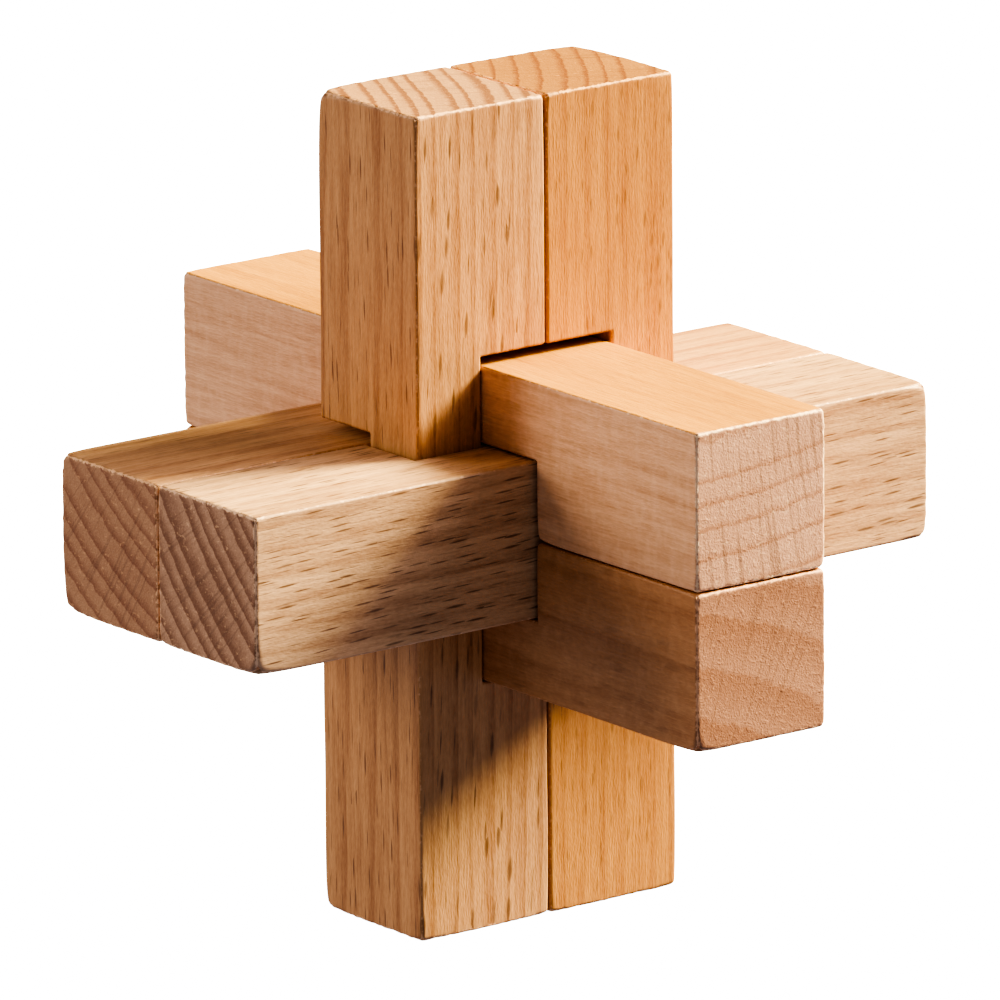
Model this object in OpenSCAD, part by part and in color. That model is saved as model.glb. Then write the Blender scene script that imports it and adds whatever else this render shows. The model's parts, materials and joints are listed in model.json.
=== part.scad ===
// Six-piece wooden burr puzzle, assembled and standing on its two uprights.
// Three pairs of equal square bars cross at right angles around one centre.
// Five bars are notched. The sixth, the key, is plain and locks the others.
// The knot fills a grid of half-bar cells, counted from the crossing centre.

/* [Bars] */
// Width of each square bar
bar_width = 15; // [10:0.5:25]
// Length of each bar
bar_length = 78.5; // [65:0.5:150]
// Radius of the eased edges along and around each bar
edge_radius = 0.6; // [0.2:0.1:1.2]

/* [Fit] */
// Gap between two faces that lie side by side
face_gap = 0.1; // [0.06:0.02:0.3]
// Free travel of a crossing bar along its length, each way
end_play = 0.3; // [0.1:0.1:0.8]
// Free height above the crossing bars in the notches of the uprights
lift_play = 0.8; // [0.2:0.1:1.5]

/* [Hidden] */
$fn = 48;

// One cell of the grid is half a bar and half a gap
cell = (bar_width + face_gap) / 2;
// Height of the crossing centre: the crossing bars lie on the lower shoulders
centre_height = bar_length / 2 - lift_play / 2;

// Square of the bar's section with its four corners rounded
module rounded_square(length, width) {
    inner_length = length - 2 * edge_radius;
    inner_width = width - 2 * edge_radius;
    square([inner_length, width], center = true);
    square([length, inner_width], center = true);
    for (x = [-1, 1], y = [-1, 1])
        translate([x * inner_length / 2, y * inner_width / 2])
            circle(r = edge_radius);
}

// Plain bar along Z about its own centre, eased on all twelve edges
module plain_bar() {
    intersection() {
        linear_extrude(height = bar_length, center = true)
            rounded_square(bar_width, bar_width);
        rotate([90, 0, 0])
            linear_extrude(height = bar_width, center = true)
                rounded_square(bar_width, bar_length);
        rotate([0, 90, 0])
            linear_extrude(height = bar_width, center = true)
                rounded_square(bar_length, bar_width);
    }
}

// Box between two corners
module box_between(low, high) {
    translate(low)
        cube(high - low);
}

// Cut for a run of cells in a crossing bar, from its low to its high grid
// corner. along is the axis of the bar, where the cut gains the end play.
module crossing_cut(low, high, along) {
    slack = [for (axis = [0:2]) axis == along ? end_play : face_gap / 2];
    box_between(low * cell - slack, high * cell + slack);
}

// Cut for a run of cells in an upright. Only its top gains the lift play.
module upright_cut(low, high) {
    side = [face_gap / 2, face_gap / 2, 0];
    lift = [0, 0, lift_play];
    box_between(low * cell - side, high * cell + side + lift);
}

// Upright on the side given by side: -1 is left, 1 is right.
// The two are mirror images, and each keeps a tooth at the crossing centre.
module upright(side) {
    difference() {
        translate([side * cell, 0, lift_play / 2])
            plain_bar();
        // Passage for the key on the back half, right across the bar
        upright_cut([-3, 0, -1], [3, 3, 1]);
        // Room for the upper and lower arm, above and below the tooth
        for (level = [1, -2])
            upright_cut([-1, -3, level], [1, 3, level + 1]);
    }
}

module left_upright() {
    color([0.82, 0.60, 0.38])
        upright(-1);
}

module right_upright() {
    color([0.86, 0.62, 0.36])
        upright(1);
}

// Crossbar in front, cut away to half its depth on its back
module front_crossbar() {
    color([0.70, 0.50, 0.36])
        difference() {
            translate([0, -cell, 0])
                rotate([0, 90, 0])
                    plain_bar();
            crossing_cut([-2, -1, -3], [2, 1, 3], along = 0);
        }
}

// Key behind it: a plain bar that slides out endways
module key_bar() {
    color([0.72, 0.49, 0.33])
        translate([0, cell, 0])
            rotate([0, 90, 0])
                plain_bar();
}

// Arm above (level 1) or below (level -1), cut to half its height on the
// side that faces the other arm
module arm(level) {
    difference() {
        translate([0, 0, level * cell])
            rotate([90, 0, 0])
                plain_bar();
        crossing_cut([-3, -2, -1], [3, 2, 1], along = 1);
    }
}

module lower_arm() {
    color([0.66, 0.42, 0.26])
        arm(-1);
}

module upper_arm() {
    color([0.84, 0.66, 0.48])
        arm(1);
}

// Places a part modelled about the crossing centre on the standing puzzle
module at_centre() {
    translate([0, 0, centre_height])
        children();
}

at_centre() left_upright();
at_centre() right_upright();
at_centre() front_crossbar();
at_centre() key_bar();
at_centre() lower_arm();
at_centre() upper_arm();
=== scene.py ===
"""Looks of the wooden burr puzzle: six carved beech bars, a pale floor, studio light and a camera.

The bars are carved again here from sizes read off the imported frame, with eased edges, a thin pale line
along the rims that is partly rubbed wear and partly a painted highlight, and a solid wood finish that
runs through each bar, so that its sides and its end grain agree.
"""
import json
import logging
import math
from dataclasses import dataclass
from enum import Enum
from itertools import combinations_with_replacement, product

import bpy
import numpy as np
from mathutils import Matrix, Vector


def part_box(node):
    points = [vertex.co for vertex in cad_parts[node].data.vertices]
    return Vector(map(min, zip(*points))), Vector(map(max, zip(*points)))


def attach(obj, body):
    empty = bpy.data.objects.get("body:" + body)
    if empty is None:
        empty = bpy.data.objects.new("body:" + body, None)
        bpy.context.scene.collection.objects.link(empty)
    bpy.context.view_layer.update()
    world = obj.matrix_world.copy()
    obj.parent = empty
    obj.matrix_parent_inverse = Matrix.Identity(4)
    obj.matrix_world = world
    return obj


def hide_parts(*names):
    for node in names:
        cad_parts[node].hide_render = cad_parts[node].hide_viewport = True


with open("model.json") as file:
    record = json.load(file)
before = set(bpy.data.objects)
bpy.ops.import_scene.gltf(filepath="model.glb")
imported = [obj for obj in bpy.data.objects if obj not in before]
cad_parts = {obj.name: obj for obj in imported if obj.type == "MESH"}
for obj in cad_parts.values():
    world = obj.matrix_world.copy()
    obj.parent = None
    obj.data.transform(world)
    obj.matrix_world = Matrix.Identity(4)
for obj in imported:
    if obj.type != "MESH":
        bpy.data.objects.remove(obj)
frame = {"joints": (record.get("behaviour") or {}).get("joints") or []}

LOG = logging.getLogger("burr_puzzle")
MM = 0.001

Colour = tuple[float, float, float]
Triple = tuple[float, float, float]


class Along(Enum):
    """The axis that a bar lies along."""

    X = 0
    Y = 1
    Z = 2

    @property
    def across(self) -> tuple[int, int]:
        """The two axes of the bar's square section."""
        first, second = [axis for axis in range(3) if axis != self.value]
        return first, second


@dataclass(frozen=True)
class Block:
    """An axis-aligned box in metres: a cut, or a solid stretch of a bar."""

    low: Triple
    high: Triple


@dataclass(frozen=True)
class Knot:
    """Sizes of the crossing, in metres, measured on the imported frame.

    Attributes:
        centre: Point where the crossing bars' seams meet.
        cell: Half a bar and half a gap, the unit of the notches.
        gap: Gap between two faces that lie side by side.
        end_play: Extra room at each end of a crossing bar's notch.
        lift_play: Extra height above the crossing bars in an upright's notches.
    """

    centre: Triple
    cell: float
    gap: float
    end_play: float
    lift_play: float

    @classmethod
    def measured(cls) -> "Knot":
        """Reads the knot's sizes off the bars' boxes and the crossbar's travel.

        Returns:
            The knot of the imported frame.
        """
        left_low, left_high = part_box("left_upright")
        right_low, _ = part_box("right_upright")
        lower_low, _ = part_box("lower_arm")
        _, upper_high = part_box("upper_arm")
        travel = {joint["name"]: joint["range_m"] for joint in frame["joints"]}
        gap = right_low.x - left_high.x
        width = left_high.x - left_low.x
        middle = (lower_low.z + upper_high.z) / 2
        upright_middle = (left_low.z + left_high.z) / 2
        return cls(
            centre=((left_high.x + right_low.x) / 2, (left_low.y + left_high.y) / 2, middle),
            cell=(width + gap) / 2,
            gap=gap,
            end_play=max(travel["front_crossbar_play"]),
            lift_play=2 * (upright_middle - middle),
        )

    def crossing_cut(self, low: Triple, high: Triple, along: Along) -> Block:
        """Cut in a crossing bar for a run of cells, with end play along the bar.

        Args:
            low: Lowest grid corner of the run, in cells from the centre.
            high: Highest grid corner of the run.
            along: Axis of the bar.

        Returns:
            The cut, in metres.
        """
        slack = np.full(3, self.gap / 2)
        slack[along.value] = self.end_play
        bottom = np.array(self.centre) + np.array(low) * self.cell - slack
        top = np.array(self.centre) + np.array(high) * self.cell + slack
        return Block(tuple(bottom), tuple(top))

    def upright_cut(self, low: Triple, high: Triple) -> Block:
        """Cut in an upright for a run of cells, with lift play above it.

        Args:
            low: Lowest grid corner of the run, in cells from the centre.
            high: Highest grid corner of the run.

        Returns:
            The cut, in metres.
        """
        side = np.array([self.gap / 2, self.gap / 2, 0.0])
        bottom = np.array(self.centre) + np.array(low) * self.cell - side
        top = np.array(self.centre) + np.array(high) * self.cell + side + [0, 0, self.lift_play]
        return Block(tuple(bottom), tuple(top))


def smooth_noise(points: np.ndarray, size: float, seed: int) -> np.ndarray:
    """Smooth random field over space, from 0 to 1.

    Random numbers sit on a cubic lattice. A point takes the blend of the eight around it,
    weighted on each axis by t * t * (3 - 2 * t) of its place t within the lattice cell.

    Args:
        points: Places, as an n by 3 array.
        size: Edge of a lattice cell, in the same unit.
        seed: Number that picks the field.

    Returns:
        One value for each point.
    """
    table = np.random.default_rng(seed).random(1 << 14)
    scaled = points / size
    corner = np.floor(scaled).astype(np.int64)
    share = scaled - corner
    share = share * share * (3 - 2 * share)
    total = np.zeros(len(points))
    for step in product((0, 1), repeat=3):
        node = corner + step
        key = node[:, 0] * 73856093 ^ node[:, 1] * 19349663 ^ node[:, 2] * 83492791
        weight = np.prod(np.where(step, share, 1 - share), axis=1)
        total += weight * table[key & (len(table) - 1)]
    return total


@dataclass(frozen=True)
class Softening:
    """A corner or edge rounder than the rest.

    Attributes:
        place: Where it is, in metres. An axis left as None means all along that axis.
        radius: Radius there, in metres.
    """

    place: tuple[float | None, float | None, float | None]
    radius: float

    def closeness(self, points: np.ndarray) -> np.ndarray:
        """How near each point is, as exp(-distance / radius), with distance summed over the axes."""
        distance = np.zeros(len(points))
        for axis, value in enumerate(self.place):
            if value is not None:
                distance += np.abs(points[:, axis] - value)
        return np.exp(-distance / self.radius)


@dataclass(frozen=True)
class CarvedBar:
    """The surface of a square bar with box-shaped notches and eased edges.

    Attributes:
        body: The bar before it is cut.
        cuts: The notches.
        along: Axis of the bar.
        edge: Mean radius of the eased edges, in metres.
        softenings: Corners and edges that are rounder.
        seed: Number that picks the wear of the edges.
    """

    body: Block
    cuts: tuple[Block, ...]
    along: Along
    edge: float
    softenings: tuple[Softening, ...]
    seed: int

    SECTION_STEP = 0.24 * MM
    LENGTH_STEP = 0.9 * MM
    # Shares of the edge zone at which its lines lie, for even steps round the arc
    ARC_SHARES = (0.0, 0.12, 0.26, 0.42, 0.6, 0.8, 1.0, 1.5, 2.2, 3.2)
    EDGE_ZONE = 0.5 * MM
    RIM_DEPTH = 0.6 * MM
    UNEVENNESS = 0.05 * MM

    def breaks(self, axis: int) -> np.ndarray:
        """Places along an axis where a face of the bar or of a notch lies."""
        low, high = self.body.low[axis], self.body.high[axis]
        inside = [cut.low[axis] for cut in self.cuts] + [cut.high[axis] for cut in self.cuts]
        inside = [value for value in inside if low < value < high]
        return np.unique(np.round([low, high, *inside], 9))

    def lines(self, axis: int) -> np.ndarray:
        """Lattice lines along an axis: close together beside every face, even in between.

        Args:
            axis: Axis number, 0 to 2.

        Returns:
            Sorted places of the lines.
        """
        step = self.LENGTH_STEP if axis == self.along.value else self.SECTION_STEP
        stops = self.breaks(axis)
        places = [stops]
        for start, end in zip(stops[:-1], stops[1:]):
            zone = min(self.EDGE_ZONE, (end - start) / 2)
            near = zone * np.array(self.ARC_SHARES)
            count = max(1, math.ceil((end - start - 2 * zone) / step))
            middle = np.linspace(start + zone, end - zone, count + 1)
            places += [start + near, end - near, middle]
        merged = np.sort(np.concatenate(places))
        keep = np.concatenate([[True], np.diff(merged) > 0.02 * MM])
        return merged[keep]

    def filled(self, lines: list[np.ndarray]) -> np.ndarray:
        """Which cells between the lines are wood.

        Args:
            lines: The lattice lines of the three axes.

        Returns:
            A three-way array of booleans.
        """
        middles = [(values[1:] + values[:-1]) / 2 for values in lines]
        x, y, z = np.meshgrid(*middles, indexing="ij")
        wood = np.ones(x.shape, bool)
        for cut in self.cuts:
            inside = np.ones(x.shape, bool)
            for place, low, high in zip((x, y, z), cut.low, cut.high):
                inside &= (place > low) & (place < high)
            wood &= ~inside
        return wood

    def solid_blocks(self) -> list[Block]:
        """The largest boxes of solid wood in the bar, which may overlap one another."""
        stops = [self.breaks(axis) for axis in range(3)]
        wood = self.filled(stops)
        spans = [
            [(i, j + 1) for i, j in combinations_with_replacement(range(len(values) - 1), 2)]
            for values in stops
        ]
        solid = [
            span
            for span in product(*spans)
            if wood[tuple(slice(*pair) for pair in span)].all()
        ]

        def holds(outer: tuple, inner: tuple) -> bool:
            """Whether the outer span of cells holds the inner one."""
            return all(a[0] <= b[0] and b[1] <= a[1] for a, b in zip(outer, inner))

        largest = [s for s in solid if not any(o != s and holds(o, s) for o in solid)]
        return [
            Block(
                tuple(values[pair[0]] for values, pair in zip(stops, span)),
                tuple(values[pair[1]] for values, pair in zip(stops, span)),
            )
            for span in largest
        ]

    def skin(self) -> tuple[np.ndarray, np.ndarray]:
        """Sharp surface of the bar on the lattice.

        A lattice face belongs to the surface where wood meets air. Its corners go round so that
        it faces the air.

        Returns:
            Points, and quads of point numbers.
        """
        lines = [self.lines(axis) for axis in range(3)]
        wood = np.pad(self.filled(lines), 1)
        shape = [len(values) for values in lines]
        quads = []
        for axis in range(3):
            first, second = [a for a in range(3) if a != axis]
            change = np.diff(wood.astype(np.int8), axis=axis)
            for sign in (-1, 1):
                # +1 is air to wood along the axis, a face that looks back down it
                where = np.argwhere(change == sign)
                corner = where - 1
                corner[:, axis] += 1
                loop = [(0, 0), (1, 0), (1, 1), (0, 1)]
                if (sign == 1) != (axis == 1):
                    loop.reverse()
                nodes = []
                for one, two in loop:
                    node = corner.copy()
                    node[:, first] += one
                    node[:, second] += two
                    nodes.append(np.ravel_multi_index(node.T, shape))
                quads.append(np.stack(nodes, axis=1))
        faces = np.concatenate(quads)
        used, faces = np.unique(faces, return_inverse=True)
        index = np.stack(np.unravel_index(used, shape), axis=1)
        points = np.stack([lines[axis][index[:, axis]] for axis in range(3)], axis=1)
        return points, faces.reshape(-1, 4)

    def nearest_inside(
        self, points: np.ndarray, blocks: list[Block], depth: np.ndarray
    ) -> np.ndarray:
        """Nearest place of the solid that lies at least depth below the surface.

        Every solid block is shrunk by depth, and a point is clamped into each of them.

        Args:
            points: Places on the surface.
            blocks: The bar's solid blocks.
            depth: Depth for each point.

        Returns:
            The nearest of the clamped places, for each point.
        """
        best = np.zeros_like(points)
        least = np.full(len(points), np.inf)
        for block in blocks:
            low = np.array(block.low)[None] + depth[:, None]
            high = np.array(block.high)[None] - depth[:, None]
            middle = (np.array(block.low) + np.array(block.high)) / 2
            place = np.clip(points, np.minimum(low, middle), np.maximum(high, middle))
            distance = np.linalg.norm(points - place, axis=1)
            closer = distance < least - 1e-9
            best[closer] = place[closer]
            least[closer] = distance[closer]
        return best

    def to_end(self, points: np.ndarray) -> np.ndarray:
        """Distance of each point from the nearer end of the bar."""
        place = points[:, self.along.value]
        low, high = self.body.low[self.along.value], self.body.high[self.along.value]
        return np.minimum(place - low, high - place)

    def radii(self, points: np.ndarray) -> np.ndarray:
        """Radius of the eased edges near each point.

        The mean radius varies slowly along the bar and quickly round its ends, where the cut
        fibres chip, and grows towards the corners and the softened places.

        Args:
            points: Places on the surface.

        Returns:
            One radius for each point, in metres.
        """
        end = np.exp(-self.to_end(points) / (0.7 * MM))
        slow = smooth_noise(points, 7 * MM, self.seed)
        quick = smooth_noise(points, 0.55 * MM, self.seed + 1)
        radius = self.edge * (0.75 + 0.5 * slow)
        radius *= 1 + end * (0.9 * quick - 0.45)
        reach = sum(
            np.minimum(points[:, a] - self.body.low[a], self.body.high[a] - points[:, a])
            for a in range(3)
        )
        radius += np.exp(-reach / (0.9 * MM)) * 0.35 * MM
        for softening in self.softenings:
            radius += softening.closeness(points) * (softening.radius - self.edge)
        return radius

    def surface(self) -> tuple[np.ndarray, np.ndarray, dict[str, np.ndarray]]:
        """Eased surface of the bar with what its finish needs to know.

        A point moves to c + r * (p - c) / |p - c|, where p is its place on the sharp surface, r
        the edge radius there and c the nearest place at depth r. That leaves flat faces and
        inside corners as they are and turns outside edges into arcs. The whole surface then
        sinks by a small smooth amount, as sanding leaves it.

        Returns:
            Points, quads, and for each point how far it faces along and across the bar and how
            near it is to an outside edge.
        """
        sharp, quads = self.skin()
        blocks = self.solid_blocks()
        radius = self.radii(sharp)
        core = self.nearest_inside(sharp, blocks, radius)
        outward = sharp - core
        outward /= np.linalg.norm(outward, axis=1, keepdims=True)
        eased = core + outward * radius[:, None]
        eased -= outward * (self.UNEVENNESS * smooth_noise(sharp, 9 * MM, self.seed + 2))[:, None]
        depth = np.full(len(sharp), self.RIM_DEPTH)
        to_core = np.linalg.norm(sharp - self.nearest_inside(sharp, blocks, depth), axis=1)
        # Pale rim line, strongest near the ends: partly rubbed wear, partly a painted highlight along the
        # edges
        rim = np.clip((to_core / self.RIM_DEPTH - 1) / (math.sqrt(2) - 1), 0, 1)
        rim *= 0.35 + 0.65 * np.exp(-self.to_end(sharp) / (0.8 * MM))
        first, second = self.along.across
        facts = {
            "end_grain": np.abs(outward[:, self.along.value]),
            "faces_first": np.abs(outward[:, first]),
            "faces_second": np.abs(outward[:, second]),
            "rim_wear_and_highlight": rim,
        }
        return eased, quads, facts


Socket = bpy.types.NodeSocket
Input = Socket | float | Colour


def shifted(colour: Colour, factor: float, lift: float = 0.0) -> Colour:
    """colour * factor + lift in each channel, at most 1."""
    return tuple(min(1.0, factor * channel + lift) for channel in colour)


class Graph:
    """Short calls that add shader nodes to one material and return their outputs."""

    def __init__(self, tree: bpy.types.NodeTree) -> None:
        """Keeps the node tree that the calls add to."""
        self.tree = tree

    def node(self, kind: str, inputs: dict[int | str, Input], **settings: object) -> bpy.types.Node:
        """Adds a node, sets it up and feeds its inputs.

        Args:
            kind: Blender's node type.
            inputs: Sockets or values by input name or number.
            settings: Properties of the node.

        Returns:
            The new node.
        """
        made = self.tree.nodes.new(kind)
        for name, value in settings.items():
            setattr(made, name, value)
        for name, value in inputs.items():
            if isinstance(value, Socket):
                self.tree.links.new(value, made.inputs[name])
            else:
                made.inputs[name].default_value = value
        return made

    def math(self, operation: str, *values: Input) -> Socket:
        """One arithmetic step on numbers."""
        return self.node("ShaderNodeMath", dict(enumerate(values)), operation=operation).outputs[0]

    def scaled(self, value: Input, factor: Input, offset: Input = 0.0) -> Socket:
        """value * factor + offset."""
        return self.math("MULTIPLY_ADD", value, factor, offset)

    def vector(self, x: Input, y: Input, z: Input) -> Socket:
        """Three numbers as one vector."""
        return self.node("ShaderNodeCombineXYZ", {0: x, 1: y, 2: z}).outputs[0]

    def noise(self, place: Socket, detail: float = 2.0, roughness: float = 0.5) -> Socket:
        """Smooth noise from about 0 to 1, one cell per unit of place."""
        inputs = {"Vector": place, "Scale": 1.0, "Detail": detail, "Roughness": roughness}
        return self.node("ShaderNodeTexNoise", inputs).outputs["Fac"]

    def fact(self, name: str) -> Socket:
        """A number that the carved mesh carries."""
        return self.node("ShaderNodeAttribute", {}, attribute_name=name).outputs["Fac"]

    def step(self, value: Input, low: float, high: float) -> Socket:
        """Smooth step from 0 at low to 1 at high, or falling when low is above high."""
        start, end = (0.0, 1.0) if low < high else (1.0, 0.0)
        inputs = {0: value, 1: min(low, high), 2: max(low, high), 3: start, 4: end}
        made = self.node("ShaderNodeMapRange", inputs, interpolation_type="SMOOTHSTEP")
        return made.outputs[0]

    def curve(self, value: Socket, stops: tuple[tuple[float, float], ...]) -> Socket:
        """Number read off straight lines between stops.

        Args:
            value: Place along the stops, from 0 to 1.
            stops: Pairs of place and number.

        Returns:
            The number there.
        """
        made = self.node("ShaderNodeValToRGB", {0: value})
        ramp = made.color_ramp
        while len(ramp.elements) < len(stops):
            ramp.elements.new(0.5)
        for element, (place, number) in zip(ramp.elements, stops):
            element.position = place
            element.color = (number, number, number, 1.0)
        return made.outputs[0]

    def mix(self, share: Input, first: Input, second: Input, blend: str = "MIX") -> Socket:
        """Mixes two colours.

        Args:
            share: How much of the second there is, from 0 to 1.
            first: Colour below.
            second: Colour above.
            blend: Blender's blend type.

        Returns:
            The mixed colour.
        """
        made = self.tree.nodes.new("ShaderNodeMix")
        made.data_type = "RGBA"
        made.blend_type = blend
        for index, value in ((0, share), (6, first), (7, second)):
            if isinstance(value, Socket):
                self.tree.links.new(value, made.inputs[index])
            elif index:
                made.inputs[index].default_value = (*value, 1.0)
            else:
                made.inputs[index].default_value = value
        return made.outputs[2]


@dataclass(frozen=True)
class Beech:
    """Finish of one bar: how it was cut from the tree, and its tones.

    Distances are in millimetres, across the bar along its first and second section axes.

    Attributes:
        pale: Colour of the early wood.
        deep: Colour of the late wood.
        pith: Where the tree's centre lies from the bar's middle.
        drift: How far the pith moves across for each millimetre along.
        ring: Mean width of a year's growth.
        late: Share of a year at which the late wood starts to darken.
        ring_depth: How dark the late wood is on the sides, from 0 to 1.
        end_ring_depth: The same on the end grain.
        dash: Size of the rays' dashes: spacing round the tree and along it.
        dash_depth: How dark the dashes are.
        dash_share: Share of the dashes that show.
        fleck: How bright the rays' broad faces are on a quartered side.
        end_rays: How strongly rays line the end grain.
        fibre_depth: How strongly the fibres streak.
        cloud: How much the tone drifts over the bar.
        end_tint: Colour that multiplies the end grain.
        flat_tint: Colour that multiplies the flat-sawn sides.
        seed: Offset of every pattern, in bars.
    """

    pale: Colour
    deep: Colour
    pith: tuple[float, float]
    drift: tuple[float, float] = (0.02, 0.015)
    ring: float = 2.0
    late: float = 0.7
    ring_depth: float = 0.35
    end_ring_depth: float = 0.7
    dash: tuple[float, float] = (0.7, 3.4)
    dash_depth: float = 0.6
    dash_share: float = 0.6
    fleck: float = 0.2
    end_rays: float = 0.25
    fibre_depth: float = 0.4
    cloud: float = 0.3
    end_tint: Colour = (0.7, 0.66, 0.74)
    flat_tint: Colour = (1.0, 1.0, 1.0)
    seed: float = 0.0

    def material(self, name: str, centre: Vector, along: Along) -> bpy.types.Material:
        """Builds the finish as a solid pattern in the bar's own directions.

        Args:
            name: Name of the material.
            centre: Middle of the bar, in metres.
            along: Axis of the bar.

        Returns:
            The material.
        """
        made = bpy.data.materials.new(name)
        made.use_nodes = True
        made.node_tree.nodes.clear()
        graph = Graph(made.node_tree)
        place = graph.node("ShaderNodeTexCoord", {}).outputs["Object"]
        centred = graph.node(
            "ShaderNodeMapping",
            {"Vector": place, "Location": -centre / MM, "Scale": Vector((1 / MM,) * 3)},
        ).outputs[0]
        parts = graph.node("ShaderNodeSeparateXYZ", {0: centred}).outputs
        first, second = along.across
        spot = Spot(graph, parts[along.value], parts[first], parts[second], self.seed)
        end = graph.fact("end_grain")
        rim = graph.fact("rim_wear_and_highlight")

        tree = TreePlace.found(spot, self.pith, self.drift)
        faces_first, faces_second = graph.fact("faces_first"), graph.fact("faces_second")
        quartered = tree.quartered(faces_first, faces_second)
        flat = graph.step(graph.math("MAXIMUM", faces_first, faces_second), 0.7, 0.98)
        swayed = spot.swayed(0.2)
        ring = self.rings(tree)
        dash = graph.math("MULTIPLY", self.dashes(tree, quartered), flat)
        fibre = swayed.noise((4.2, 0.26, 0.26), 3, 3.0, 0.6)
        band = swayed.noise((15.0, 0.95, 0.95), 4, 2.0)
        pore = spot.noise((0.62, 0.17, 0.17), 5, 1.0)
        cloud = spot.noise((34.0, 9.0, 9.0), 9, 2.0)
        shade = self.shade(graph, end, ring, fibre, band, pore, cloud)
        tone = graph.mix(shade, self.pale, self.deep)
        flat_sawn = graph.math("SUBTRACT", graph.math("SUBTRACT", 1.0, end), quartered)
        tone = graph.mix(graph.step(flat_sawn, 0.55, 0.98), tone, self.flat_tint, "MULTIPLY")
        tone = self.with_rays(tree, tone, end, dash, quartered)
        # End grain tint, with pale specks that are partly torn fibres and partly painted glints of light
        tone = self.with_end_grain(spot, tone, end)
        # Pale broken line on the edges: partly rubbed wear, partly a painted highlight
        tone = self.with_rim_wear_and_highlight(spot, tone, rim, pore)
        crumbs = graph.step(spot.noise((0.9, 0.8, 0.45), 13, 2.0), 0.5, 0.8)
        rough_end = graph.math("MULTIPLY", crumbs, end)
        height = graph.scaled(pore, 0.5, graph.scaled(fibre, 0.6, graph.scaled(rough_end, 0.4)))
        bump = graph.node("ShaderNodeBump", {"Height": height, "Strength": 0.9, "Distance": 0.06 * MM})
        rough = graph.scaled(end, 0.14, graph.scaled(fibre, 0.18, 0.4))
        surface = graph.node(
            "ShaderNodeBsdfPrincipled",
            {
                "Base Color": tone,
                "Roughness": rough,
                "Normal": bump.outputs[0],
                "Specular IOR Level": 0.35,
            },
        )
        graph.node("ShaderNodeOutputMaterial", {"Surface": surface.outputs[0]})
        return made

    def rings(self, tree: "TreePlace") -> Socket:
        """Year rings: pale early wood, late wood that darkens, then a quick step back.

        Args:
            tree: Place in the tree.

        Returns:
            Darkness from 0 to 1.
        """
        graph = tree.spot.graph
        years = graph.math("DIVIDE", tree.radius, self.ring)
        lean_years = graph.noise(
            graph.vector(graph.scaled(years, 0.45, 3.1 + self.seed), 0.0, 0.0), 1.0
        )
        ragged = graph.noise(
            graph.vector(
                graph.scaled(tree.radius, 0.7),
                graph.scaled(tree.around, 1.1),
                graph.scaled(tree.spot.length, 0.09, self.seed),
            ),
            3.0,
        )
        years = graph.scaled(lean_years, 1.5, years)
        years = graph.scaled(ragged, 0.3, years)
        share = graph.math("FRACT", years)
        soft = self.late + (1 - self.late) * 0.45
        dark = self.late + (1 - self.late) * 0.85
        return graph.curve(
            share,
            ((0.0, 0.7), (0.06, 0.08), (self.late, 0.15), (soft, 0.6), (dark, 1.0), (1.0, 1.0)),
        )

    def dashes(self, tree: "TreePlace", quartered: Socket) -> Socket:
        """Rays cut across: scattered short dark dashes with pointed ends.

        A dash is where 1 - |across| / width - (lengthways / 0.46)^2 - (outwards / 0.6)^2 is above
        0, each of them measured in cells from the dash's middle: across round the tree,
        lengthways along it and outwards away from its pith.

        Args:
            tree: Place in the tree.
            quartered: How far the surface is a quartered one, which shows none.

        Returns:
            Darkness from 0 to 1.
        """
        graph = tree.spot.graph
        around, along = self.dash
        place = graph.vector(
            graph.scaled(tree.around, 1 / around, 11.0 * self.seed),
            graph.scaled(tree.spot.length, 1 / along, 5.0 * self.seed),
            graph.scaled(tree.radius, 1 / 6.0),
        )
        cell = graph.node("ShaderNodeTexVoronoi", {"Vector": place, "Scale": 1.0})
        lots = graph.node("ShaderNodeSeparateColor", {0: cell.outputs["Color"]}).outputs
        away = graph.node(
            "ShaderNodeVectorMath", {0: place, 1: cell.outputs["Position"]}, operation="SUBTRACT"
        )
        across, lengthways, outwards = graph.node(
            "ShaderNodeSeparateXYZ", {0: away.outputs[0]}
        ).outputs
        width = graph.scaled(lots[1], 0.17, 0.08)
        lens = graph.math("SUBTRACT", 1.0, graph.math("DIVIDE", graph.math("ABSOLUTE", across), width))
        for part, reach in ((lengthways, 0.46), (outwards, 0.6)):
            squared = graph.math("POWER", graph.math("ABSOLUTE", graph.scaled(part, 1 / reach)), 2.0)
            lens = graph.math("SUBTRACT", lens, squared)
        shown = graph.step(lots[0], 1 - self.dash_share - 0.25, 1 - self.dash_share + 0.25)
        flat_sawn = graph.step(quartered, 0.97, 0.75)
        dash = graph.math("MULTIPLY", graph.step(lens, -0.1, 0.8), shown)
        return graph.math("MULTIPLY", dash, flat_sawn)

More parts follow.
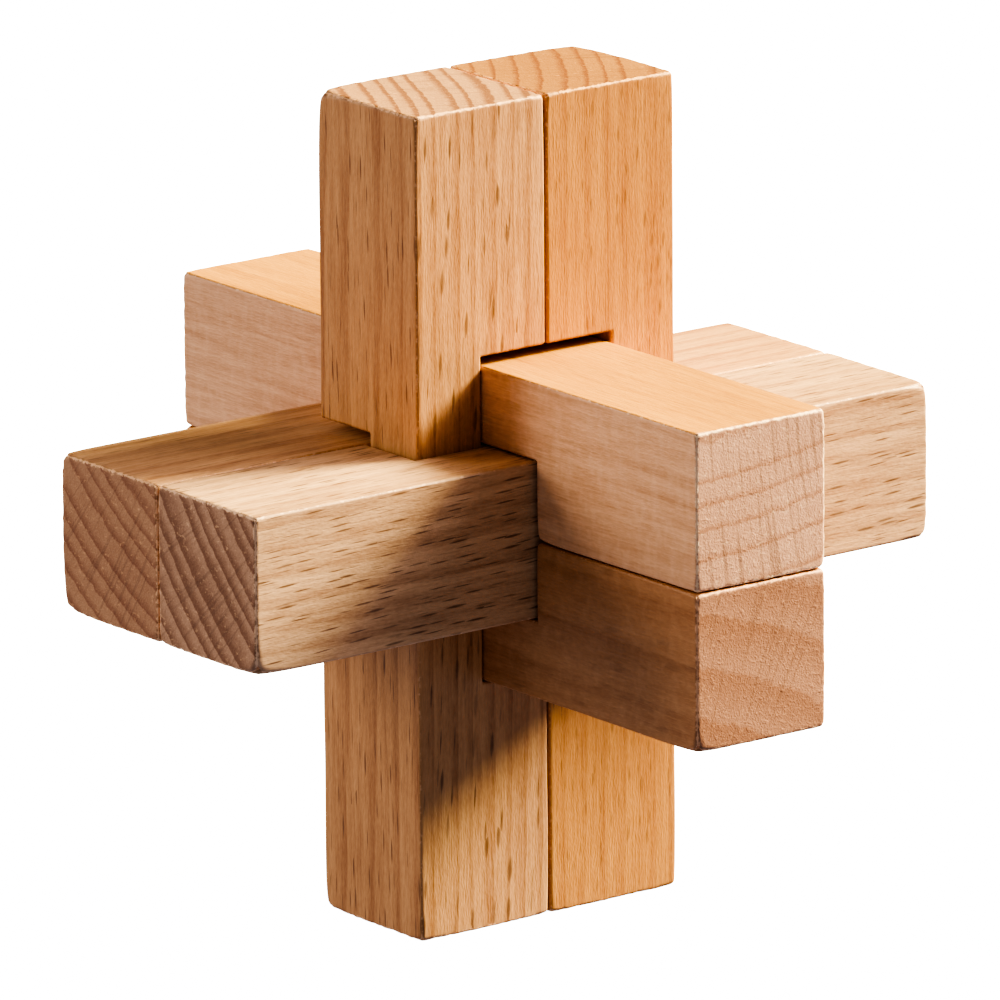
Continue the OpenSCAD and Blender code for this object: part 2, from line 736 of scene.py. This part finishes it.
    def shade(
        self,
        graph: Graph,
        end: Socket,
        ring: Socket,
        fibre: Socket,
        band: Socket,
        pore: Socket,
        cloud: Socket,
    ) -> Socket:
        """How deep the wood's tone is, from its rings, fibres and slow drift.

        Args:
            graph: The material's graph.
            end: How far the surface is end grain.
            ring: Darkness of the year rings.
            fibre: Fine streaks.
            band: Broader streaks.
            pore: Fine pores.
            cloud: Slow drift of tone.

        Returns:
            0 for the pale wood to 1 for the deep.
        """
        depth = graph.scaled(end, self.end_ring_depth - self.ring_depth, self.ring_depth)
        along_fibre = graph.scaled(end, -0.6, 1.0)
        total = graph.math("MULTIPLY", graph.math("SUBTRACT", ring, 0.35), depth)
        for noise, amount in ((fibre, 2.6), (band, 2.2)):
            streak = graph.math("MULTIPLY", graph.math("SUBTRACT", noise, 0.5), amount * self.fibre_depth)
            total = graph.math("ADD", total, graph.math("MULTIPLY", streak, along_fibre))
        total = graph.scaled(graph.math("SUBTRACT", cloud, 0.5), 1.8 * self.cloud, total)
        total = graph.scaled(graph.math("SUBTRACT", pore, 0.5), 0.5, total)
        total = graph.math("ADD", total, 0.42)
        return graph.node("ShaderNodeClamp", {0: total}).outputs[0]

    def with_rays(
        self, tree: "TreePlace", tone: Socket, end: Socket, dash: Socket, quartered: Socket
    ) -> Socket:
        """Adds the rays: dark dashes, bright flecks on quartered wood, thin lines on end grain.

        Args:
            tree: Place in the tree.
            tone: Colour so far.
            end: How far the surface is end grain.
            dash: The dashes.
            quartered: How far the surface is a quartered one.

        Returns:
            The colour with rays.
        """
        graph = tree.spot.graph
        side = graph.math("SUBTRACT", 1.0, end)
        dark = graph.math("MULTIPLY", dash, graph.math("MULTIPLY", side, self.dash_depth))
        tone = graph.mix(dark, tone, shifted(self.deep, 0.5))
        sheet = graph.noise(
            graph.vector(
                graph.scaled(tree.around, 1 / 0.5, 7.7),
                graph.scaled(tree.spot.length, 1 / 1.3, 2.0),
                graph.scaled(tree.radius, 1 / 2.6, 6.1),
            ),
            2.0,
            0.6,
        )
        fleck = graph.math("MULTIPLY", graph.step(sheet, 0.42, 0.7), quartered)
        fleck = graph.math("MULTIPLY", fleck, graph.math("MULTIPLY", side, self.fleck))
        tone = graph.mix(fleck, tone, shifted(self.pale, 1.15, 0.05))
        line = graph.noise(
            graph.vector(
                graph.scaled(tree.around, 1 / 0.4, 3.3),
                graph.scaled(tree.spot.length, 1 / 3.0, 8.0),
                graph.scaled(tree.radius, 1 / 14.0, 1.7),
            ),
            1.0,
        )
        line = graph.math("MULTIPLY", graph.step(line, 0.55, 0.68), end)
        return graph.mix(graph.scaled(line, self.end_rays), tone, shifted(self.deep, 0.5))

    def with_end_grain(self, spot: "Spot", tone: Socket, end: Socket) -> Socket:
        """Deepens the end grain, which looks darker than the sides, and adds small pale specks: partly
        torn fibres, partly painted highlight glints.

        Args:
            spot: Place in the bar.
            tone: Colour so far.
            end: How far the surface is end grain.

        Returns:
            The colour with end grain.
        """
        graph = spot.graph
        tone = graph.mix(end, tone, self.end_tint, "MULTIPLY")
        # Pale specks: partly torn fibres, partly painted glints of light
        torn_fibre_and_glint = graph.step(spot.noise((0.9, 0.55, 0.35), 7, 3.0), 0.58, 0.8)
        torn_fibre_and_glint = graph.math("MULTIPLY", torn_fibre_and_glint, graph.scaled(end, 0.45))
        return graph.mix(torn_fibre_and_glint, tone, shifted(self.pale, 1.2, 0.04))

    def with_rim_wear_and_highlight(self, spot: "Spot", tone: Socket, rim: Socket, pore: Socket) -> Socket:
        """Paints a thin broken pale line along the edges: partly rubbed wear, partly a painted highlight.

        Args:
            spot: Place in the bar.
            tone: Colour so far.
            rim: How near an outside edge the surface is.
            pore: Fine pores.

        Returns:
            The colour with worn rims.
        """
        graph = spot.graph
        broken = spot.noise((0.45, 0.45, 0.45), 11, 2.0)
        wear_and_highlight = graph.math("ADD", rim, graph.scaled(broken, 2.2, graph.scaled(pore, 0.5)))
        wear_and_highlight = graph.step(wear_and_highlight, 1.65, 2.15)
        wear_and_highlight = graph.math("MULTIPLY", wear_and_highlight, graph.step(rim, 0.02, 0.4))
        # Paler colour on the edges: partly wear, partly a painted highlight
        return graph.mix(graph.scaled(wear_and_highlight, 0.8), tone, shifted(self.pale, 1.2, 0.1))


@dataclass(frozen=True)
class Spot:
    """Place in a bar, in millimetres from its middle, as shader sockets.

    Attributes:
        graph: The material's graph.
        length: Place along the bar.
        wide: Place across it, first way.
        tall: Place across it, second way.
        seed: Offset of every pattern.
    """

    graph: Graph
    length: Socket
    wide: Socket
    tall: Socket
    seed: float

    def noise(self, size: Triple, layer: int, detail: float = 2.0, roughness: float = 0.5) -> Socket:
        """Noise of its own for one pattern.

        Args:
            size: Cell size along the bar and across it.
            layer: Number of the pattern.
            detail: How many finer layers it has.
            roughness: How strong those are.

        Returns:
            About 0 to 1.
        """
        away = 17.3 * layer + 41.7 * self.seed
        place = self.graph.vector(
            self.graph.scaled(self.length, 1 / size[0], away),
            self.graph.scaled(self.wide, 1 / size[1], away * 0.7),
            self.graph.scaled(self.tall, 1 / size[2], away * 0.4),
        )
        return self.graph.noise(place, detail, roughness)

    def swayed(self, reach: float) -> "Spot":
        """The same place with its sides moved slowly to and fro, so that streaks wander.

        Args:
            reach: How far they move.

        Returns:
            The moved place.
        """
        sides = []
        for layer, side in ((21, self.wide), (22, self.tall)):
            sway = self.graph.math("SUBTRACT", self.noise((12.0, 6.0, 6.0), layer, 1.0), 0.5)
            sides.append(self.graph.scaled(sway, 2 * reach, side))
        return Spot(self.graph, self.length, sides[0], sides[1], self.seed)


@dataclass(frozen=True)
class TreePlace:
    """Place in the tree that a bar was cut from, as shader sockets in millimetres.

    Attributes:
        spot: Place in the bar.
        radius: Distance from the pith.
        around: Distance round the tree.
        outward: Direction away from the pith, as two numbers across the bar.
    """

    spot: Spot
    radius: Socket
    around: Socket
    outward: tuple[Socket, Socket]

    @classmethod
    def found(cls, spot: Spot, pith: tuple[float, float], drift: tuple[float, float]) -> "TreePlace":
        """Works out the place, with a slow wander of the trunk.

        Args:
            spot: Place in the bar.
            pith: The tree's centre from the bar's middle.
            drift: How far it moves across for each millimetre along.

        Returns:
            The place in the tree.
        """
        graph = spot.graph
        sides = []
        for layer, (side, start, slope) in enumerate(zip((spot.wide, spot.tall), pith, drift)):
            wander = graph.math("SUBTRACT", spot.noise((26.0, 16.0, 16.0), layer, 1.0), 0.5)
            slanted = graph.math("SUBTRACT", side, graph.scaled(spot.length, slope, start))
            sides.append(graph.scaled(wander, 0.9, slanted))
        squares = [graph.math("MULTIPLY", side, side) for side in sides]
        radius = graph.math("SQRT", graph.math("ADD", *squares))
        outward = tuple(graph.math("DIVIDE", side, radius) for side in sides)
        # Measured from the direction of the bar, so that the jump at half a turn lies outside it
        away = -math.atan2(-pith[1], -pith[0])
        cosine, sine = math.cos(away), math.sin(away)
        forward = graph.scaled(sides[0], cosine, graph.math("MULTIPLY", sides[1], -sine))
        sideways = graph.scaled(sides[0], sine, graph.math("MULTIPLY", sides[1], cosine))
        angle = graph.math("ARCTAN2", sideways, forward)
        return cls(spot, radius, graph.scaled(angle, math.hypot(*pith)), outward)

    def quartered(self, faces_first: Socket, faces_second: Socket) -> Socket:
        """How far a side is quartered: 1 where it looks round the tree, 0 where it looks out.

        Args:
            faces_first: How far the surface faces the first section axis.
            faces_second: How far it faces the second.

        Returns:
            One less the share of its direction that points out of the tree.
        """
        graph = self.spot.graph
        first = graph.math("MULTIPLY", faces_first, graph.math("ABSOLUTE", self.outward[0]))
        second = graph.math("MULTIPLY", faces_second, graph.math("ABSOLUTE", self.outward[1]))
        return graph.math("SUBTRACT", 1.0, graph.math("ADD", first, second))


@dataclass(frozen=True)
class Bar:
    """One bar of the puzzle, carved and finished.

    Attributes:
        node: Name of its CAD node, body and material slot.
        along: Axis that it lies along.
        finish: Its wood.
        cuts: Its notches.
        edge: Mean radius of its edges, in metres.
        softenings: Corners and edges that are rounder.
        seed: Number that picks its wear.
    """

    node: str
    along: Along
    finish: Beech
    cuts: tuple[Block, ...] = ()
    edge: float = 0.32 * MM
    softenings: tuple[Softening, ...] = ()
    seed: int = 1

    def build(self) -> bpy.types.Object:
        """Carves the bar, dresses it and hands it to the frame.

        Returns:
            The finished piece.
        """
        low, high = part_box(self.node)
        carved = CarvedBar(
            Block(tuple(low), tuple(high)), self.cuts, self.along, self.edge, self.softenings, self.seed
        )
        points, quads, facts = carved.surface()
        piece = self.to_object(points, quads, facts)
        piece.data.materials.append(
            self.finish.material(f"{self.node}_wood", (low + high) / 2, self.along)
        )
        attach(piece, self.node)
        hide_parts(self.node)
        LOG.info("%s: %d points, %d faces", piece.name, len(points), len(quads))
        return piece

    def to_object(
        self, points: np.ndarray, quads: np.ndarray, facts: dict[str, np.ndarray]
    ) -> bpy.types.Object:
        """Puts arrays into a smooth-shaded mesh object.

        Args:
            points: Points in metres, in the frame's own place.
            quads: Four point numbers for each face.
            facts: One number for each point, by attribute name.

        Returns:
            The object, at the origin.
        """
        mesh = bpy.data.meshes.new(f"{self.node}_carved")
        mesh.from_pydata(points, [], quads)
        for name, values in facts.items():
            attribute = mesh.attributes.new(name, "FLOAT", "POINT")
            attribute.data.foreach_set("value", values.astype(np.float32))
        mesh.polygons.foreach_set("use_smooth", np.ones(len(quads), bool))
        mesh.update()
        piece = bpy.data.objects.new(f"{self.node}_carved", mesh)
        bpy.context.scene.collection.objects.link(piece)
        return piece


@dataclass(frozen=True)
class Puzzle:
    """The six bars of the burr.

    Attributes:
        knot: Sizes of the crossing.
    """

    knot: Knot

    def bars(self) -> list[Bar]:
        """The bars with their notches and their wood."""
        knot = self.knot
        passage = knot.upright_cut((-3, 0, -1), (3, 3, 1))
        arm_rooms = tuple(
            knot.upright_cut((-1, -3, level), (1, 3, level + 1)) for level in (1, -2)
        )
        back_half = knot.crossing_cut((-2, -1, -3), (2, 1, 3), Along.X)
        inner_half = knot.crossing_cut((-3, -2, -1), (3, 2, 1), Along.Y)
        shoulder = knot.centre[1] - 2 * knot.cell - knot.end_play
        middle = knot.centre[2]
        _, right_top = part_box("right_upright")
        left_low, left_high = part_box("left_upright")
        front_low, front_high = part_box("front_crossbar")
        key_low, key_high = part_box("key_bar")
        lower_low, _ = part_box("lower_arm")
        return [
            Bar(
                "left_upright",
                Along.Z,
                Beech(
                    pale=(0.655, 0.344, 0.147),
                    deep=(0.366, 0.153, 0.055),
                    pith=(-110.0, 56.0),
                    ring=1.8,
                    late=0.6,
                    ring_depth=0.45,
                    end_ring_depth=1.7,
                    dash_depth=0.85,
                    dash_share=0.5,
                    end_tint=(0.7, 0.7, 0.8),
                    seed=1.0,
                ),
                (passage, *arm_rooms),
                softenings=(
                    Softening((left_low.x, left_high.y, left_high.z), 1.5 * MM),
                    Softening((left_low.x, left_high.y, left_low.z), 1.2 * MM),
                ),
                seed=11,
            ),
            Bar(
                "right_upright",
                Along.Z,
                Beech(
                    pale=(0.645, 0.302, 0.086),
                    deep=(0.38, 0.132, 0.037),
                    pith=(-64.0, 41.0),
                    ring=2.1,
                    ring_depth=0.25,
                    end_ring_depth=0.9,
                    end_tint=(0.64, 0.62, 0.6),
                    dash=(0.6, 2.2),
                    dash_depth=0.5,
                    fibre_depth=0.3,
                    seed=2.0,
                ),
                (passage, *arm_rooms),
                softenings=(Softening(tuple(right_top), 2.4 * MM),),
                seed=23,
            ),
            Bar(
                "front_crossbar",
                Along.X,
                Beech(
                    pale=(0.74, 0.455, 0.25),
                    deep=(0.378, 0.184, 0.087),
                    pith=(-40.0, 36.0),
                    ring=1.9,
                    late=0.3,
                    ring_depth=0.3,
                    end_ring_depth=1.0,
                    end_tint=(0.7, 0.67, 0.75),
                    dash=(0.55, 3.2),
                    dash_depth=0.95,
                    dash_share=0.85,
                    seed=3.0,
                ),
                (back_half,),
                softenings=(
                    Softening(tuple(front_low), 1.6 * MM),
                    Softening((front_high.x, front_low.y, front_high.z), 1.2 * MM),
                    Softening((front_high.x, front_low.y, front_low.z), 1.0 * MM),
                ),
                seed=37,
            ),
            Bar(
                "key_bar",
                Along.X,
                Beech(
                    pale=(0.74, 0.42, 0.2),
                    deep=(0.424, 0.181, 0.078),
                    pith=(-30.0, 44.0),
                    late=0.5,
                    end_tint=(0.68, 0.66, 0.76),
                    dash_depth=0.5,
                    seed=4.0,
                ),
                softenings=(
                    Softening((key_low.x, key_high.y, key_low.z), 1.8 * MM),
                    Softening((key_low.x, key_high.y, key_high.z), 1.0 * MM),
                ),
                seed=41,
            ),
            Bar(
                "lower_arm",
                Along.Y,
                Beech(
                    pale=(0.66, 0.33, 0.145),
                    deep=(0.4, 0.16, 0.056),
                    pith=(-18.0, -48.0),
                    ring=5.0,
                    late=0.25,
                    ring_depth=0.25,
                    end_ring_depth=0.45,
                    end_tint=(0.74, 0.75, 1.0),
                    dash_depth=0.25,
                    fibre_depth=0.25,
                    seed=5.0,
                ),
                (inner_half,),
                softenings=(
                    Softening((None, shoulder, middle), 0.6 * MM),
                    Softening(tuple(lower_low), 1.3 * MM),
                ),
                seed=53,
            ),
            Bar(
                "upper_arm",
                Along.Y,
                Beech(
                    pale=(0.88, 0.51, 0.288),
                    deep=(0.59, 0.29, 0.14),
                    pith=(-14.0, 130.0),
                    ring=2.8,
                    late=0.75,
                    ring_depth=0.2,
                    flat_tint=(0.79, 0.65, 0.27),
                    dash_depth=0.45,
                    fibre_depth=0.45,
                    end_rays=0.42,
                    seed=6.0,
                ),
                (inner_half,),
                softenings=(Softening((None, shoulder, middle), 1.0 * MM),),
                seed=67,
            ),
        ]

    def build(self) -> list[bpy.types.Object]:
        """Builds every bar in order."""
        return [bar.build() for bar in self.bars()]


@dataclass(frozen=True)
class Lamp:
    """A broad far lamp.

    Attributes:
        name: Name of the lamp.
        travel: Direction in which its light travels.
        strength: Irradiance, in watts a square metre.
        spread: Its apparent width, in degrees.
        tint: Its colour.
    """

    name: str
    travel: Triple
    strength: float
    spread: float
    tint: Colour

    def build(self) -> None:
        """Adds the lamp to the scene."""
        data = bpy.data.lights.new(self.name, "SUN")
        data.energy = self.strength
        data.angle = math.radians(self.spread)
        data.color = self.tint
        lamp = bpy.data.objects.new(self.name, data)
        lamp.rotation_mode = "QUATERNION"
        lamp.rotation_quaternion = Vector(self.travel).to_track_quat("-Z", "Y")
        bpy.context.scene.collection.objects.link(lamp)


@dataclass(frozen=True)
class Studio:
    """Floor, lights and camera.

    Attributes:
        azimuth: Camera's angle round the object, in degrees.
        elevation: Camera's angle above the floor, in degrees.
        roll: Camera's turn about its own line of sight, in degrees.
        distance: Camera's distance from the aim, in metres.
        lens: Focal length for a 36 mm sensor, in millimetres.
        aim: Move of the aim from the crossing, right and up in the view, in metres.
        lamps: The lamps.
        sky: Colour of the surroundings above the horizon.
        ground: The same below it, standing in for the floor's bounce.
        floor_reach: Distance from the floor's middle to its sides, in metres.
        floor_glow: Strength with which the floor shines towards the camera.
    """

    azimuth: float = -37.41
    elevation: float = 14.9
    roll: float = -0.39
    distance: float = 1.3
    lens: float = 503.3
    aim: tuple[float, float] = (0.143 * MM, -0.462 * MM)
    lamps: tuple[Lamp, ...] = (
        Lamp("key_light", (-1.0, 0.28, -0.71), 12.7, 19.0, (1.0, 0.96, 0.62)),
        Lamp("front_light", (-0.62, 0.55, -0.56), 1.7, 28.0, (1.0, 0.92, 1.0)),
        Lamp("fill_light", (0.9, -1.0, -0.45), 1.85, 40.0, (1.0, 0.89, 0.78)),
    )
    sky: Colour = (0.155, 0.155, 0.15)
    ground: Colour = (0.3, 0.31, 0.4)
    floor_reach: float = 6.0
    floor_glow: float = 3.0

    def build(self, centre: Vector) -> None:
        """Sets up everything round the puzzle.

        Args:
            centre: The knot's centre.
        """
        self.floor()
        for lamp in self.lamps:
            lamp.build()
        self.surroundings()
        self.camera(centre)

    def floor(self) -> None:
        """Pale level square floor, at the height that the puzzle stands on."""
        square = np.array([[-1, -1, 0], [1, -1, 0], [1, 1, 0], [-1, 1, 0]], float)
        mesh = bpy.data.meshes.new("floor")
        mesh.from_pydata(square * self.floor_reach, [], [(0, 1, 2, 3)])
        finish = bpy.data.materials.new("floor_paper")
        finish.use_nodes = True
        paper = finish.node_tree.nodes["Principled BSDF"]
        paper.inputs["Base Color"].default_value = (0.93, 0.925, 0.92, 1.0)
        paper.inputs["Roughness"].default_value = 0.9
        paper.inputs["Specular IOR Level"].default_value = 0.1
        paper.inputs["Emission Color"].default_value = (1.0, 1.0, 1.0, 1.0)
        paper.inputs["Emission Strength"].default_value = self.floor_glow
        mesh.materials.append(finish)
        floor = bpy.data.objects.new("floor", mesh)
        # Its glow is for the camera only, or it would light the bars from below
        floor.visible_diffuse = False
        floor.visible_glossy = False
        bpy.context.scene.collection.objects.link(floor)

    def surroundings(self) -> None:
        """Even pale surroundings that fill the shadows."""
        world = bpy.data.worlds.new("studio")
        world.use_nodes = True
        graph = Graph(world.node_tree)
        direction = graph.node("ShaderNodeTexCoord", {}).outputs["Generated"]
        height = graph.node("ShaderNodeSeparateXYZ", {0: direction}).outputs[2]
        colour = graph.mix(graph.step(height, -0.02, 0.02), self.ground, self.sky)
        world.node_tree.links.new(colour, world.node_tree.nodes["Background"].inputs["Color"])
        bpy.context.scene.world = world

    def camera(self, centre: Vector) -> None:
        """Long-lens camera that looks at the knot.

        Args:
            centre: The knot's centre.
        """
        azimuth, elevation = math.radians(self.azimuth), math.radians(self.elevation)
        back = Vector(
            (
                math.sin(azimuth) * math.cos(elevation),
                -math.cos(azimuth) * math.cos(elevation),
                math.sin(elevation),
            )
        )
        right = Vector((math.cos(azimuth), math.sin(azimuth), 0.0))
        turn = Matrix.Rotation(math.radians(self.roll), 3, back)
        right, up = turn @ right, turn @ back.cross(right)
        data = bpy.data.cameras.new("camera")
        data.sensor_width = 36.0
        data.lens = self.lens
        data.clip_end = 50.0
        camera = bpy.data.objects.new("camera", data)
        spot = centre + right * self.aim[0] + up * self.aim[1] + back * self.distance
        turned = Matrix((right, up, back)).transposed().to_4x4()
        camera.matrix_world = Matrix.Translation(spot) @ turned
        bpy.context.scene.collection.objects.link(camera)
        bpy.context.scene.camera = camera
        bpy.context.scene.view_settings.view_transform = "AgX"
        bpy.context.scene.view_settings.look = "AgX - Very High Contrast"


def main() -> None:
    """Builds the puzzle and its studio, and reports each piece."""
    logging.basicConfig(level=logging.INFO, format="%(name)s: %(message)s")
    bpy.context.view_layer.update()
    knot = Knot.measured()
    pieces = Puzzle(knot).build()
    Studio().build(Vector(knot.centre))
    LOG.info("%d pieces finished", len(pieces))


if __name__ == "__main__":
    main()
